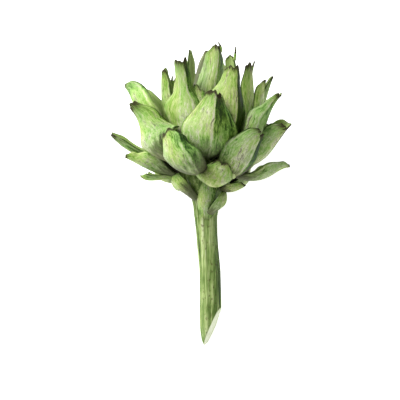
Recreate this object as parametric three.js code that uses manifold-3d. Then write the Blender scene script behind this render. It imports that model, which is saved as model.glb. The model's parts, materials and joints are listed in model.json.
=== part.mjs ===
// A globe artichoke cut with a length of its stem, lying on a table.
//
// Everything is shaped in the plant's own upright frame: Z runs up the stem into the head, X to the right,
// and Y away from the side that shows best. Z is 0 where the head sits on the stem. One group then lays the
// whole plant down on its far side, so that it rests on two bracts and on the end of the stem. Lengths are in
// millimetres. Angles are in degrees where a name ends in Deg, and in radians elsewhere.

import * as THREE from 'three';
import { mergeVertices } from 'three/addons/utils/BufferGeometryUtils.js';
import Module from 'manifold-3d';

const wasm = await Module();
wasm.setup();

// Driving dimensions
const GAP = 0.3; // clearance between pieces that touch
const LIE_TILT_DEG = 16.8; // slope of the plant's axis once it lies down, head higher than stem
const LIE_HEIGHT = 34.7; // height of the head's base above the table
const SEED = 7; // of the small differences between the bracts that grow on the far side

// The stem, from its cut end up to the dome that carries the bracts
const STEM_CUT_Z = -104.3;
const STEM_SIDES = 18;
const STEM_RIBS = 6;
const STEM_RIB_HEIGHT = 0.035; // share of the radius
// Middle of the stem at each height: [z, x]
const STEM_LINE = [
  [-104, 4], [-96, 3.2], [-86, 2.8], [-75, 2.9], [-55, 2.5], [-40, 1], [-20, -0.3], [-13, 0], [0, 0], [26, 0],
];
// Outline of the stem and of the dome above it: [z, radius]
const STEM_OUTLINE = [
  [-104.3, 5], [-101.5, 6.3], [-93, 6.8], [-80, 6.8], [-68, 6.7], [-56, 6.6], [-44, 6.6], [-32, 6.6],
  [-22, 7], [-14, 8], [-7, 9.6], [-1, 13], [5, 16.2], [11, 17.6], [17, 16.2], [22, 11.5],
];
const DOME_TOP_Z = 25.5;
// The knife's slanted cut: a point on it and the way its face looks, right, down and a little to the front
const CUT_POINT = [-1.3, 0, -104.3];
const CUT_FACING = [0.87, -0.29, -0.4];

// A bract is a thick cupped leaf. Thickness at its middle, from root to tip, and at its edges
const THICK = { root: 2.8, belly: 2.5, neck: 1.9, tip: 1.2 };
const EDGE_THICKNESS = 0.55; // share of the thickness at the middle
const ROOT_WIDTH = 0.55; // share of the belly's width
const ROOT_CUP = 0.6;
const BELLY_AT = 0.44; // share of the bract's length
const NECK_AT = 0.82;
const SWING_POWER = 1.5;
const NOTCH = { depth: 0.55, width: 0.28 }; // shares of the tip's half width
const SHOULDER = 0.5; // how far the tip's corners are rounded off, the same way
const CREASE_SHARE = 0.35; // part of the cupping that gathers in a crease
const CREASE_WIDTH = 0.07;
const VALLEY = { after: 0.15, width: 0.11 }; // of a fold, beside its crease
const SECTION_STEPS = 80;

// The rows of bracts, from the stem up to the crown. Each bract's middle line is a curve in the plane of its
// own azimuth, from its root over its belly and neck to its tip, as [distance from the axis, height]. half is
// half the width seen from outside and cup the angle that half the bract curls through, each at the belly,
// neck and tip. under is how far the head's weight pushes the row in on the side that it lies on, at the
// belly, neck and tip, as [inwards, up]. back counts the bracts that grow round the far side by rule, and drop
// is how much lower their tips end than those of the front.
const ROWS = {
  stem: {
    root: [8, -21], belly: [12, -16], neck: [15, -8], tip: [18, 0],
    half: [5, 4, 1.8], cup: [1.2, 1, 0.7], under: [[0, 0], [0, 0], [0, 0]], back: 1, drop: 0,
  },
  skirt: {
    root: [12, -3], belly: [25, -3], neck: [31, 1], tip: [40, 4],
    half: [6.5, 5, 2.2], cup: [1.4, 1.4, 1], under: [[0, 0], [2, 0], [5, 0]], back: 3, drop: -3,
  },
  outer: {
    root: [17, 3], belly: [36, 2], neck: [45, 8], tip: [54, 14],
    half: [8, 5.5, 3], cup: [1.4, 1.5, 1.1], under: [[3, -1], [8, 0], [13, 0]], back: 4, drop: 0,
  },
  wide: {
    root: [19, 9], belly: [45, 3], neck: [45, 24], tip: [48, 37],
    half: [13, 8, 4.2], cup: [1.2, 1.5, 1.1], under: [[5, 2], [4, 2], [5, 2]], back: 0, drop: 0,
  },
  middle: {
    root: [19, 14], belly: [50, 13], neck: [41, 43], tip: [46, 60],
    half: [14, 8, 4.2], cup: [1.2, 1.5, 1.2], under: [[5, 2], [1, 0], [3, 0]], back: 4, drop: 2,
  },
  upper: {
    root: [17, 18], belly: [42, 26], neck: [30, 56], tip: [34, 78],
    half: [12, 6, 4.5], cup: [1.2, 1.6, 1.2], under: [[3, 0], [0, 0], [2, 0]], back: 3, drop: 6,
  },
  high: {
    root: [12, 21], belly: [30, 30], neck: [26, 58], tip: [28, 79],
    half: [9, 4.8, 3.6], cup: [1.3, 1.6, 1.2], under: [[0, 0], [0, 0], [0, 0]], back: 3, drop: 6,
  },
  crown: {
    root: [7, 23], belly: [22, 40], neck: [18, 70], tip: [10, 89],
    half: [10, 8, 2.8], cup: [1.2, 1.2, 0.9], under: [[0, 0], [0, 0], [0, 0]], back: 0, drop: 6,
  },
};

// The bracts placed one by one, by row: those of the side that shows and the two that carry the head. azimuth
// is 0 at the front and positive to the right. belly, neck and tip shift those points of the row's curve,
// swing turns the tip sideways, twist turns it about its own length, wide scales the width, necks that of the
// neck and tip, cups the cupping. bellyAt and neckAt are the shares of the length where the width is that of
// the belly and of the neck. crease places a crease between the edges at -1 and 1, fold deepens the valley
// beside it, notch and lean shape the tip's edge. In each row the inner ones come first.
const PLACED = {
  stem: {
    right: {
      azimuth: 19.4, swing: 53.9, root: [-1.9, 2.4], belly: [6.9, 0.3], neck: [3.6, -0.7], tip: [-8, 0.8],
      twist: 4.5, wide: 0.75, necks: 0.63, cups: 0.93, bellyAt: 0.54, neckAt: 0.86,
    },
    front: { azimuth: 4, belly: [-0.5, 3], neck: [-2, 3], tip: [-4, 5], wide: 1.2, root: [-2.5, -1] },
    left: {
      azimuth: -47.8, swing: -32.3, root: [0.7, 11.6], belly: [12.2, 16.3], neck: [5, 5.9],
      tip: [5.7, 6.8], twist: 20.9, wide: 1.14, necks: 1.23, cups: 1.01, bellyAt: 0.53, neckAt: 0.8,
    },
  },
  skirt: {
    right: {
      azimuth: 56.6, swing: 3.2, root: [0, 0.3], belly: [-4.4, -2.3], neck: [-7.7, -3.3],
      tip: [-11, -4.2], twist: 5.1, wide: 0.88, necks: 0.85, cups: 1.02, bellyAt: 0.42, neckAt: 0.84,
    },
    left: {
      azimuth: -79.8, swing: -5.6, root: [-1.1, 2.9], belly: [3.2, 12.2], neck: [5.5, -1.1],
      tip: [2.6, 1.9], twist: -10.4, wide: 0.47, necks: 2.6, cups: 0.87, bellyAt: 0.44, neckAt: 0.85,
    },
  },
  outer: {
    front: {
      azimuth: 11, swing: 6.7, root: [-1.8, 1.8], belly: [7, -11.5], neck: [-8.1, -0.5],
      tip: [-14.7, -0.8], twist: 4.2, wide: 2.23, necks: 1.05, cups: 0.84, bellyAt: 0.47, neckAt: 0.74,
      crease: -0.05, notch: 0.05, lean: 0,
    },
    right: {
      azimuth: 85.5, swing: 11, root: [1.4, 3.1], belly: [3.5, -3.6], neck: [-0.4, 4.3], tip: [0, -2.1],
      twist: 3.4, wide: 1.07, necks: 0.86, cups: 1.03, bellyAt: 0.48, neckAt: 0.81,
    },
    left: {
      azimuth: -83.1, swing: -2.4, root: [1.2, 1.3], belly: [3.3, 7.9], neck: [0.9, 8.1],
      tip: [-1.2, 4.2], twist: -0.9, wide: 1.17, necks: 0.7, cups: 1.22, bellyAt: 0.5, neckAt: 0.75,
    },
  },
  wide: {
    left: {
      azimuth: -26.9, swing: -9.5, root: [-2.5, 0.2], belly: [6.1, 1], neck: [2.8, 0.9],
      tip: [-4.5, -3.4], twist: -8.1, wide: 1.54, necks: 1.06, cups: 1.05, bellyAt: 0.44, neckAt: 0.74,
      crease: 0.68, fold: 0.45,
    },
    right: {
      azimuth: 34.3, swing: 11.3, root: [0.3, -2.7], belly: [-4.6, -3.1], neck: [0.2, 4.2],
      tip: [1.7, -4.8], twist: -4.3, wide: 1.21, necks: 0.89, cups: 0.67, bellyAt: 0.5, neckAt: 0.89,
      crease: 0.1, fold: 0.15,
    },
    far_right: {
      azimuth: 76.8, swing: -13, root: [0.7, 0.9], belly: [-1.9, 12.2], neck: [-0.6, 5.1],
      tip: [10.7, -0.2], twist: -9.5, wide: 1.25, necks: 0.98, cups: 0.99, bellyAt: 0.44, neckAt: 0.9,
      crease: -0.2, fold: 0.5,
    },
    far_left: {
      azimuth: -101.4, swing: 11.8, root: [-0.9, -0.9], belly: [-4.5, 16.4], neck: [3.5, -7.4],
      tip: [16.1, -4.7], twist: -5.7, wide: 0.62, necks: 1.25, cups: 0.77, bellyAt: 0.46, neckAt: 0.91,
    },
    back_right: { azimuth: 116, belly: [-2, 2], neck: [-1, 1], tip: [2, 1], wide: 0.9, crease: 0.3 },
    back_left: { azimuth: 237, belly: [-2, 1], neck: [0, 2], tip: [3, 0], wide: 0.9, crease: -0.3 },
    under_right: { azimuth: 157, belly: [4, 1], neck: [6.6, 6], tip: [2, 3], wide: 1.05, crease: 0.3 },
    under_left: { azimuth: 203, belly: [3.5, 0], neck: [6.2, 5], tip: [2, 2], wide: 1.05, crease: -0.3 },
  },
  middle: {
    front: {
      azimuth: 2.6, swing: 6.5, root: [-1.7, 3.4], belly: [4.1, 0.3], neck: [3, 5.1], tip: [-4.8, -1.8],
      twist: -1.4, wide: 1.4, necks: 0.63, cups: 0.61, bellyAt: 0.51, neckAt: 0.96, crease: 0.02,
      fold: 0.8,
    },
    left: {
      azimuth: -55.8, swing: -17.6, root: [-0.5, -1.1], belly: [10, 10.2], neck: [-8.4, -11.9],
      tip: [5.5, -9.5], twist: 10.4, wide: 1.3, necks: 0.81, cups: 1.2, bellyAt: 0.48, neckAt: 0.78,
    },
    right: {
      azimuth: 56.9, swing: 5.8, root: [-0.3, 0.3], belly: [-5.5, 0.4], neck: [-1.6, 3.3],
      tip: [7.6, -2.9], twist: -16.6, wide: 0.96, necks: 0.75, cups: 1.09, bellyAt: 0.67, neckAt: 0.83,
      crease: -0.5, fold: 0.3,
    },
  },
  upper: {
    low: {
      azimuth: -8.7, swing: 0.6, root: [-3.3, 2.6], belly: [-5.3, 6.1], neck: [-3.2, -3.1],
      tip: [-5.6, -17.2], twist: 2.5, wide: 1.05, necks: 0.82, cups: 0.87, bellyAt: 0.44, neckAt: 0.84,
      notch: 0, lean: -1.1,
    },
    left: {
      azimuth: -25.3, swing: -0.5, root: [0.1, -0.1], belly: [-7.6, 7.6], neck: [-0.9, 3.2],
      tip: [4.1, 0.6], twist: 26.5, wide: 1.61, necks: 0.62, cups: 0.86, bellyAt: 0.5, neckAt: 0.73,
      crease: 0.3, fold: 0.4,
    },
    right: {
      azimuth: 16.4, swing: 10.1, root: [-3.5, 1.2], belly: [-8.5, 4.8], neck: [11.3, 4.9],
      tip: [3.7, -3.1], twist: -23, wide: 1.41, necks: 0.77, cups: 0.83, bellyAt: 0.42, neckAt: 0.85,
      crease: 0.4, fold: 0.5,
    },
    far_left: {
      azimuth: -84.5, swing: -26.9, root: [-2.8, -1.2], belly: [2.3, 3.7], neck: [14.5, 1.8],
      tip: [19.8, -15], twist: -12.2, wide: 1.47, necks: 0.88, cups: 1.21, bellyAt: 0.41, neckAt: 0.87,
    },
    far_right: {
      azimuth: 74.7, swing: 15.4, root: [-0.2, -0.3], belly: [0.5, 0.9], neck: [4.7, 2.6],
      tip: [4.3, -11.7], twist: 5.7, wide: 0.74, necks: 1.29, cups: 0.94, bellyAt: 0.43, neckAt: 0.86,
    },
    behind_right: {
      azimuth: 101.4, swing: -13.2, root: [0.3, 0.1], belly: [-3.6, 1.5], neck: [3.6, -5.6],
      tip: [10.4, -7.5], twist: 14.9, wide: 0.47, necks: 1.08, cups: 0.98, bellyAt: 0.39, neckAt: 0.81,
    },
  },
  high: {
    right: {
      azimuth: 75.9, swing: -7.4, root: [0.4, -1], belly: [9.6, -1.3], neck: [3.6, -5.1],
      tip: [3.3, -0.6], twist: 16.7, wide: 0.77, necks: 1.74, cups: 0.86, bellyAt: 0.28, neckAt: 0.77,
      crease: 0.15, fold: 0.5,
    },
    left: {
      azimuth: -100.3, swing: 4.1, root: [0.3, 0.1], belly: [0.2, 0], neck: [2.3, -0.3], tip: [0.6, -2.9],
      twist: 3.9, wide: 1.39, necks: 0.92, cups: 0.97, bellyAt: 0.47, neckAt: 0.82,
    },
    hidden_left: { azimuth: -50, tip: [-5, -8] },
    hidden_front: { azimuth: 10, neck: [-3, -8], tip: [-6, -20] },
  },
  crown: {
    front: {
      azimuth: 0.1, swing: 25.4, root: [3.6, -0.3], belly: [3.7, -1.2], neck: [6.4, 3.2], tip: [6.4, 0.5],
      twist: 4, wide: 1.18, necks: 0.76, cups: 0.81, bellyAt: 0.4, neckAt: 0.87, crease: 0.12, fold: 0.4,
    },
    near_left: {
      azimuth: -54.8, swing: 5.8, root: [-0.4, -0.2], belly: [-5.8, -3.5], neck: [-11.5, 3.5],
      tip: [-10.9, -1.2], twist: 5.4, wide: 0.6, necks: 1.24, cups: 1.01, bellyAt: 0.47, neckAt: 0.84,
    },
    near_right: { azimuth: 74, tip: [-2, -6], wide: 0.8 },
    back_left: {
      azimuth: -140.8, swing: -2.6, root: [0.2, -1.1], belly: [-1.3, 1.7], neck: [-1.9, 2.8],
      tip: [7.9, 0.6], twist: 7, wide: 0.51, necks: 0.73, cups: 0.87, bellyAt: 0.39, neckAt: 0.82,
      notch: 3, lean: 0,
    },
    back_right: {
      azimuth: 137.1, swing: -19, root: [-0.1, -1], belly: [3.9, 1], neck: [7.4, 4.8], tip: [8.6, -3.7],
      twist: 5.2, wide: 0.69, necks: 0.87, cups: 0.86, bellyAt: 0.36, neckAt: 0.95,
    },
  },
};

// The heart: the tight inner bud, a smooth core with small bracts pressed on it that grew as one with it
const HEART_CORE = [[7.5, 26], [9, 36], [8.5, 50], [6, 64], [3, 74]]; // [radius, z]
const HEART_TOP_Z = 78;
const HEART_ROW = {
  root: [7, 29], belly: [12, 42], neck: [9, 62], tip: [2.5, 80],
  half: [6.5, 5, 1.6], cup: [0.9, 0.9, 0.7], under: [[0, 0], [0, 0], [0, 0]],
};
const HEART_BRACTS = 5;
const HEART_SIDES = 10;
const GOLDEN_ANGLE_DEG = 137.5;

// Faces: across and along a bract, and on the small ones
const FACES = { across: 6, along: 7 };
const SMALL_FACES = { across: 4, along: 5 };
const SMALL_ROWS = ['stem', 'skirt'];
const HEART_FACES = { across: 4, along: 5 };
const FAR_FACES = { across: 6, along: 5 };

const COLOUR = { bract: 0x859b5f, stem: 0x8da167, heart: 0x9cb070 };

// A repeatable random number generator, from 0 to 1
function randomFrom(seed) {
  let state = seed;
  return () => {
    state = (state * 1664525 + 1013904223) % 4294967296;
    return state / 4294967296;
  };
}

function smoothstep(low, high, x) {
  const t = THREE.MathUtils.clamp((x - low) / (high - low), 0, 1);
  return t * t * (3 - 2 * t);
}

// Straight-line reading of a list of [x, y] points
function readLine(points, x) {
  const last = points.length - 1;
  if (x <= points[0][0]) return points[0][1];
  for (let i = 0; i < last; i++) {
    const [x0, y0] = points[i];
    const [x1, y1] = points[i + 1];
    if (x <= x1) return y0 + ((y1 - y0) * (x - x0)) / (x1 - x0);
  }
  return points[last][1];
}

// A value along a bract, from its root through belly and neck to its tip
function alongBract(v, root, belly, neck, tip, bellyAt = BELLY_AT, neckAt = NECK_AT) {
  if (v < bellyAt) return root + (belly - root) * Math.sin((Math.PI / 2) * (v / bellyAt));
  if (v < neckAt) return belly + (neck - belly) * smoothstep(bellyAt, neckAt, v);
  return neck + (tip - neck) * smoothstep(neckAt, 1, v);
}

// Fills in what a bract leaves to its row
function describeBract(own) {
  const row = ROWS[own.row] ?? HEART_ROW;
  const under = Math.min(1, Math.max(0, -2 * Math.cos(THREE.MathUtils.degToRad(own.azimuth))));
  const spine = ['root', 'belly', 'neck', 'tip'].map((key, i) => {
    const shift = own[key] ?? [0, 0];
    const push = i > 0 ? row.under[i - 1] : [0, 0];
    return [row[key][0] + shift[0] - under * push[0], row[key][1] + shift[1] + under * push[1]];
  });
  const necks = own.necks ?? 1;
  const wide = own.wide ?? 1;
  return {
    azimuth: own.azimuth,
    swing: own.swing ?? 0,
    twist: own.twist ?? 0,
    crease: own.crease ?? 0,
    fold: own.fold ?? 0,
    notch: own.notch ?? NOTCH.depth,
    lean: own.lean ?? 0,
    places: [own.bellyAt ?? BELLY_AT, own.neckAt ?? NECK_AT],
    spine,
    half: [row.half[0] * wide, row.half[1] * wide * necks, row.half[2] * wide * necks],
    cup: row.cup.map((angle) => angle * (own.cups ?? 1)),
  };
}

// The point of a bract's middle line at the share v of its length
function spinePoint(bract, v) {
  const [a, b, c, d] = bract.spine;
  const u = 1 - v;
  const weights = [u ** 3, 3 * u * u * v, 3 * u * v * v, v ** 3];
  const blend = (k) => weights[0] * a[k] + weights[1] * b[k] + weights[2] * c[k] + weights[3] * d[k];
  const turn = THREE.MathUtils.degToRad(bract.azimuth + bract.swing * v ** SWING_POWER);
  return new THREE.Vector3(blend(0) * Math.sin(turn), -blend(0) * Math.cos(turn), blend(1));
}

// One direction turned towards another that is square to it
function turned(from, towards, angle) {
  return from.clone().multiplyScalar(Math.cos(angle)).addScaledVector(towards, Math.sin(angle));
}

// Directions at the share v: along the bract, outwards and sideways
function spineFrame(bract, v) {
  const step = 0.01;
  const before = spinePoint(bract, Math.max(0, v - step));
  const after = spinePoint(bract, Math.min(1, v + step));
  const along = after.sub(before).normalize();
  const turn = THREE.MathUtils.degToRad(bract.azimuth + bract.swing * v ** SWING_POWER);
  const radial = new THREE.Vector3(Math.sin(turn), -Math.cos(turn), 0);
  const up = new THREE.Vector3(0, 0, 1);
  const out = radial.clone().multiplyScalar(along.z).addScaledVector(up, -along.dot(radial));
  const side = along.clone().cross(out).normalize();
  out.copy(side).cross(along);
  const twist = THREE.MathUtils.degToRad(bract.twist) * v;
  return { along, outward: turned(out, side, twist), sideways: turned(side, out, -twist) };
}

// A bract's cross-section: for each place across, from -1 to 1, how far sideways and outwards it lies from
// the middle line, and the angle that it has turned through. The curve is added up in small steps from one
// edge to the other.
function crossSection(half, cup, crease, fold, places) {
  const reach = (half * cup) / Math.sin(Math.min(cup, Math.PI / 2));
  const angleAt = (s) => {
    if (!crease) return cup * s;
    const sharp = 2 / (1 + Math.exp(-(s - crease) / CREASE_WIDTH)) - 1;
    const valley = fold * Math.exp(-(((s - crease - VALLEY.after) / VALLEY.width) ** 2));
    return cup * ((1 - CREASE_SHARE) * s + CREASE_SHARE * sharp) + valley;
  };
  const xs = [[-1, 0]];
  const ys = [[-1, 0]];
  const step = 2 / SECTION_STEPS;
  for (let i = 0; i < SECTION_STEPS; i++) {
    const s = -1 + step * (i + 1);
    const angle = (angleAt(s) + angleAt(s - step)) / 2;
    xs.push([s, xs[i][1] + Math.cos(angle) * reach * step]);
    ys.push([s, ys[i][1] - Math.sin(angle) * reach * step]);
  }
  const [x0, y0] = [readLine(xs, 0), readLine(ys, 0)];
  return places.map((s) => ({ x: readLine(xs, s) - x0, y: readLine(ys, s) - y0, angle: angleAt(s) }));
}

// How far the tip's edge stands past a square end, as a share of the tip's half width: it slants by lean, has
// round corners and falls back in a notch
function tipEdge(s, notch, lean) {
  return lean * s - SHOULDER * Math.abs(s) ** 4 - notch * Math.exp(-((s / NOTCH.width) ** 2));
}

// The closed surface of a bract. grow thickens it all round, for cutting its neighbours clear of it.
function bractGeometry(bract, faces, grow = 0) {
  const places = Array.from({ length: faces.across + 1 }, (_, j) => -1 + (2 * j) / faces.across);
  const outer = [];
  const inner = [];
  for (let i = 0; i <= faces.along; i++) {
    const v = i / faces.along;
    const { along, outward, sideways } = spineFrame(bract, v);
    const middle = spinePoint(bract, v);
    const half = alongBract(v, bract.half[0] * ROOT_WIDTH, ...bract.half, ...bract.places);
    const cup = alongBract(v, ROOT_CUP, ...bract.cup);
    const thick = alongBract(v, THICK.root, THICK.belly, THICK.neck, THICK.tip);
    const endGrow = i === 0 ? -grow : i === faces.along ? grow : 0;
    const fold = bract.fold * smoothstep(0.15, 0.45, v);
    crossSection(half, cup, bract.crease, fold, places).forEach(({ x, y, angle }, j) => {
      const s = places[j];
      const shorten = tipEdge(s, bract.notch, bract.lean) * bract.half[2] * smoothstep(0.75, 1, v);
      const edge = s === -1 || s === 1 ? s * grow : 0;
      const normal = turned(outward, sideways, angle);
      const across = turned(sideways, outward, -angle);
      const point = middle.clone().addScaledVector(sideways, x).addScaledVector(outward, y);
      point.addScaledVector(along, shorten + endGrow).addScaledVector(across, edge);
      const depth = (thick / 2) * (1 - (1 - EDGE_THICKNESS) * s * s) + grow;
      outer.push(point.clone().addScaledVector(normal, depth));
      inner.push(point.addScaledVector(normal, -depth));
    });
  }
  const wide = faces.across + 1;
  const at = (i, j, side) => i * wide + j + side * outer.length;
  const index = [];
  const quad = (a, b, c, d) => index.push(a, b, c, a, c, d);
  for (let i = 0; i < faces.along; i++) {
    for (let j = 0; j < faces.across; j++) {
      quad(at(i, j, 0), at(i, j + 1, 0), at(i + 1, j + 1, 0), at(i + 1, j, 0));
      index.push(at(i, j, 1), at(i + 1, j + 1, 1), at(i, j + 1, 1));
      index.push(at(i, j, 1), at(i + 1, j, 1), at(i + 1, j + 1, 1));
    }
    quad(at(i, 0, 0), at(i + 1, 0, 0), at(i + 1, 0, 1), at(i, 0, 1));
    const last = faces.across;
    quad(at(i, last, 1), at(i + 1, last, 1), at(i + 1, last, 0), at(i, last, 0));
  }
  for (let j = 0; j < faces.across; j++) {
    quad(at(0, j, 1), at(0, j + 1, 1), at(0, j + 1, 0), at(0, j, 0));
    quad(at(faces.along, j, 0), at(faces.along, j + 1, 0), at(faces.along, j + 1, 1), at(faces.along, j, 1));
  }
  const geometry = new THREE.BufferGeometry();
  const positions = [...outer, ...inner].flatMap((p) => [p.x, p.y, p.z]);
  geometry.setAttribute('position', new THREE.Float32BufferAttribute(positions, 3));
  geometry.setIndex(index);
  return geometry;
}

// Between a three.js geometry and a solid that can be cut and joined
function toSolid(geometry) {
  const bare = geometry.clone();
  bare.deleteAttribute('normal');
  bare.deleteAttribute('uv');
  const merged = mergeVertices(bare, 1e-4);
  return new wasm.Manifold(new wasm.Mesh({
    numProp: 3,
    vertProperties: new Float32Array(merged.attributes.position.array),
    triVerts: new Uint32Array(merged.index.array),
  }));
}

function toGeometry(solid) {
  const mesh = solid.getMesh();
  const geometry = new THREE.BufferGeometry();
  geometry.setAttribute('position', new THREE.Float32BufferAttribute(mesh.vertProperties, 3));
  geometry.setIndex(new THREE.Uint32BufferAttribute(mesh.triVerts, 1));
  geometry.computeVertexNormals();
  return geometry;
}

// The largest body of a solid: cutting can leave small scraps behind
function largestBody(solid) {
  return solid.decompose().reduce((best, body) => (body.volume() > best.volume() ? body : best));
}

// A closed skin over rings of points, each ring given by its middle, radius and height, with a point at each
// end
function ringSkin(rings, sides, ribs, bottom, top) {
  const positions = [...bottom];
  rings.forEach(({ x, z, radius }) => {
    for (let k = 0; k < sides; k++) {
      const turn = (2 * Math.PI * k) / sides;
      const r = radius * (1 + ribs * Math.cos(STEM_RIBS * turn));
      positions.push(x + r * Math.cos(turn), r * Math.sin(turn), z);
    }
  });
  positions.push(...top);
  const at = (i, k) => 1 + i * sides + (k % sides);
  const end = 1 + rings.length * sides;
  const index = [];
  for (let k = 0; k < sides; k++) {
    index.push(0, at(0, k + 1), at(0, k), end, at(rings.length - 1, k), at(rings.length - 1, k + 1));
    for (let i = 0; i < rings.length - 1; i++) {
      index.push(at(i, k), at(i, k + 1), at(i + 1, k + 1), at(i, k), at(i + 1, k + 1), at(i + 1, k));
    }
  }
  const geometry = new THREE.BufferGeometry();
  geometry.setAttribute('position', new THREE.Float32BufferAttribute(positions, 3));
  geometry.setIndex(index);
  return geometry;
}

// A block whose top face is the plane through a point, facing the given way; cutting with it leaves that
// plane
function blockBehind(point, facing, size) {
  const block = new THREE.BoxGeometry(size, size, size);
  const down = new THREE.Vector3(0, 0, -1);
  const turn = new THREE.Quaternion().setFromUnitVectors(down, facing.clone().normalize());
  block.translate(0, 0, -size / 2).applyQuaternion(turn).translate(...point);
  return block;
}

// The stem with the dome on top of it, grown as one, cut off slantwise. grow widens it for cutting the bracts
// clear.
function stemSolid(grow = 0) {
  const rings = STEM_OUTLINE.map(([z, radius]) => ({ z, radius: radius + grow, x: readLine(STEM_LINE, z) }));
  const low = [readLine(STEM_LINE, STEM_CUT_Z), 0, STEM_CUT_Z - 4 - grow];
  const skin = ringSkin(rings, STEM_SIDES, STEM_RIB_HEIGHT, low, [0, 0, DOME_TOP_Z + grow]);
  return toSolid(skin).subtract(toSolid(blockBehind(CUT_POINT, new THREE.Vector3(...CUT_FACING), 100)));
}

// The heart: its core joined with the small bracts pressed on it
function heartSolid() {
  const profile = [[0, HEART_CORE[0][1]], ...HEART_CORE, [0, HEART_TOP_Z]];
  const points = profile.map(([radius, z]) => new THREE.Vector2(radius, z));
  const core = new THREE.LatheGeometry(points, HEART_SIDES).rotateX(Math.PI / 2);
  let solid = toSolid(core);
  for (let n = 0; n < HEART_BRACTS; n++) {
    const leaf = describeBract({ row: 'heart', azimuth: n * GOLDEN_ANGLE_DEG, tip: [0, -2.5 * n] });
    solid = solid.add(toSolid(bractGeometry(leaf, HEART_FACES)));
  }
  return solid;
}

// Every bract, row by row from the crown down to the stem, so that the inner ones come first. Those of the
// far side are spaced evenly between the outermost ones placed in their row.
function everyBract() {
  const random = randomFrom(SEED);
  const between = (low, high) => low + (high - low) * random();
  const found = [];
  for (const row of Object.keys(ROWS).reverse()) {
    const named = ([name, own]) => ({ name: `bract_${row}_${name}`, row, ...own });
    const placed = Object.entries(PLACED[row]).map(named);
    found.push(...placed);
    const azimuths = placed.map((own) => own.azimuth);
    const right = Math.max(...azimuths);
    const left = Math.min(...azimuths) + 360;
    for (let n = 1; n <= ROWS[row].back; n++) {
      found.push({
        name: `bract_${row}_far_${n}`,
        row,
        far: true,
        azimuth: right + ((left - right) * n) / (ROWS[row].back + 1) + between(-4, 4),
        swing: between(-6, 6),
        tip: [between(-5, 0), between(-3, 3) - ROWS[row].drop],
        wide: between(0.85, 1),
        twist: between(-8, 8),
        crease: n % 2 ? 0.3 : -0.3,
      });
    }
  }
  return found;
}

// Laying the plant down
const lying = new THREE.Group();
lying.rotation.x = -THREE.MathUtils.degToRad(90 - LIE_TILT_DEG);
lying.position.z = LIE_HEIGHT;
lying.updateMatrixWorld(true);
const tableNormal = new THREE.Vector3(0, 0, 1).transformDirection(lying.matrixWorld.clone().invert());
const tablePoint = new THREE.Vector3(0, 0, 0).applyMatrix4(lying.matrixWorld.clone().invert());
const table = toSolid(blockBehind(tablePoint.toArray(), tableNormal.negate(), 400));

function addPiece(name, solid, colour, roughness) {
  const material = new THREE.MeshStandardMaterial({ color: colour, roughness, metalness: 0 });
  const mesh = new THREE.Mesh(toGeometry(largestBody(solid.subtract(table))), material);
  mesh.name = name;
  lying.add(mesh);
}

addPiece('stem', stemSolid(), COLOUR.stem, 0.6);
addPiece('heart', heartSolid().subtract(stemSolid(GAP)), COLOUR.heart, 0.55);

// Each bract is cut clear of the stem, the heart and every bract inside it, so the inner ones keep their
// whole shape
let taken = stemSolid(GAP).add(heartSolid());
for (const own of everyBract()) {
  const bract = describeBract(own);
  const faces = SMALL_ROWS.includes(own.row) ? SMALL_FACES : own.far ? FAR_FACES : FACES;
  addPiece(own.name, toSolid(bractGeometry(bract, faces)).subtract(taken), COLOUR.bract, 0.5);
  taken = taken.add(toSolid(bractGeometry(bract, faces, GAP)));
}

// The origin is the middle of the plant's outline on the table
const middle = new THREE.Box3().setFromObject(lying, true).getCenter(new THREE.Vector3());
lying.position.x -= middle.x;
lying.position.y -= middle.y;

export default lying;
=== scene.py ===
# %% [markdown]
# # A globe artichoke on a table
#
# The plant lies on its far side with its cut stem towards us. Its head is a spiral of fleshy leaves, called
# bracts, that grow from a swollen stem end. The CAD frame gives each of them a simple solid. This script
# gives each one its real skin: a finer leaf, bent along the same curve, with veins, dark tips and stains.
# Everything is in metres in the frame's own axes. The leaves are worked out in the plant's upright axes, in
# millimetres, and one function lays each finished point down on the table.

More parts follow.
